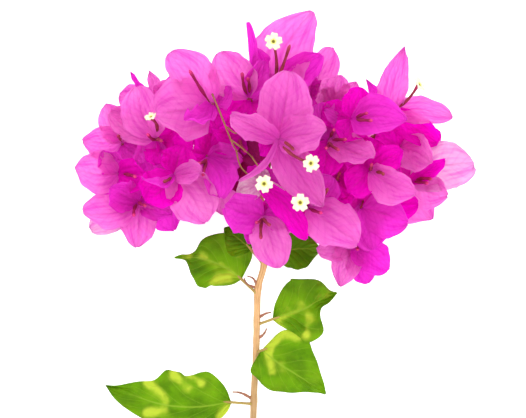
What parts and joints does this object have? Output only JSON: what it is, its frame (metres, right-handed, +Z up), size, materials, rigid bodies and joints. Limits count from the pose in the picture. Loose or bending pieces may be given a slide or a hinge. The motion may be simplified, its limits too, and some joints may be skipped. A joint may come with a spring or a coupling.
{
  "type": "cut bougainvillea sprig",
  "caption": "Cut flowering sprig lying on its side: a slim woody stem with boughs that carry papery magenta blooms, and variegated green leaves below.",
  "frame": {"origin": "on the surface that the sprig lies on, below the middle of its bounding box", "axes": "+Y along the sprig from the cut end towards the tip, +Z up from the surface, +X across the sprig"},
  "size_m": [0.1953, 0.2188, 0.0936],
  "materials": {
    "stem": "matt light-brown bark",
    "bough": "matt green-brown young bark",
    "bloom": "thin papery magenta bracts with veins",
    "leaf": "satin green leaf with yellow-green patches"
  },
  "bodies": {
    "root": {"stem": "stem", "bough_top": "bough", "bough_top_left": "bough", "bough_left": "bough", "bough_inner": "bough", "bough_front": "bough", "bough_bottom": "bough", "bough_right": "bough", "bough_upper_right": "bough", "bough_far_top": "bough", "bough_tail": "bough", "bough_under_right": "bough", "bough_under_left": "bough", "bloom_crown": "bloom", "bloom_crown_right": "bloom", "bloom_upper_left": "bloom", "bloom_left_top": "bloom", "bloom_left_star": "bloom", "bloom_left_edge": "bloom", "bloom_left_spike": "bloom", "bloom_far_left": "bloom", "bloom_lower_left": "bloom", "bloom_cup": "bloom", "bloom_inner_left": "bloom", "bloom_front_left": "bloom", "bloom_front": "bloom", "bloom_pale_star": "bloom", "bloom_bottom": "bloom", "bloom_right_low": "bloom", "bloom_mid_dark": "bloom", "bloom_core_right": "bloom", "bloom_right_core": "bloom", "bloom_right_upper": "bloom", "bloom_top_right": "bloom", "bloom_spire": "bloom", "bloom_right_mid": "bloom", "bloom_right_cup": "bloom", "bloom_far_right": "bloom", "bloom_right_under": "bloom", "bloom_tail": "bloom", "bloom_back_left": "bloom", "bloom_back_top_left": "bloom", "bloom_back_top": "bloom", "bloom_back_middle": "bloom", "bloom_back_right": "bloom", "bloom_back_low": "bloom", "bloom_back_far": "bloom", "leaf_low_left": "leaf", "leaf_low_right": "leaf", "leaf_high_right": "leaf", "leaf_high_left": "leaf", "leaf_behind_left": "leaf", "leaf_behind_right": "leaf"}
  },
  "joints": []
}
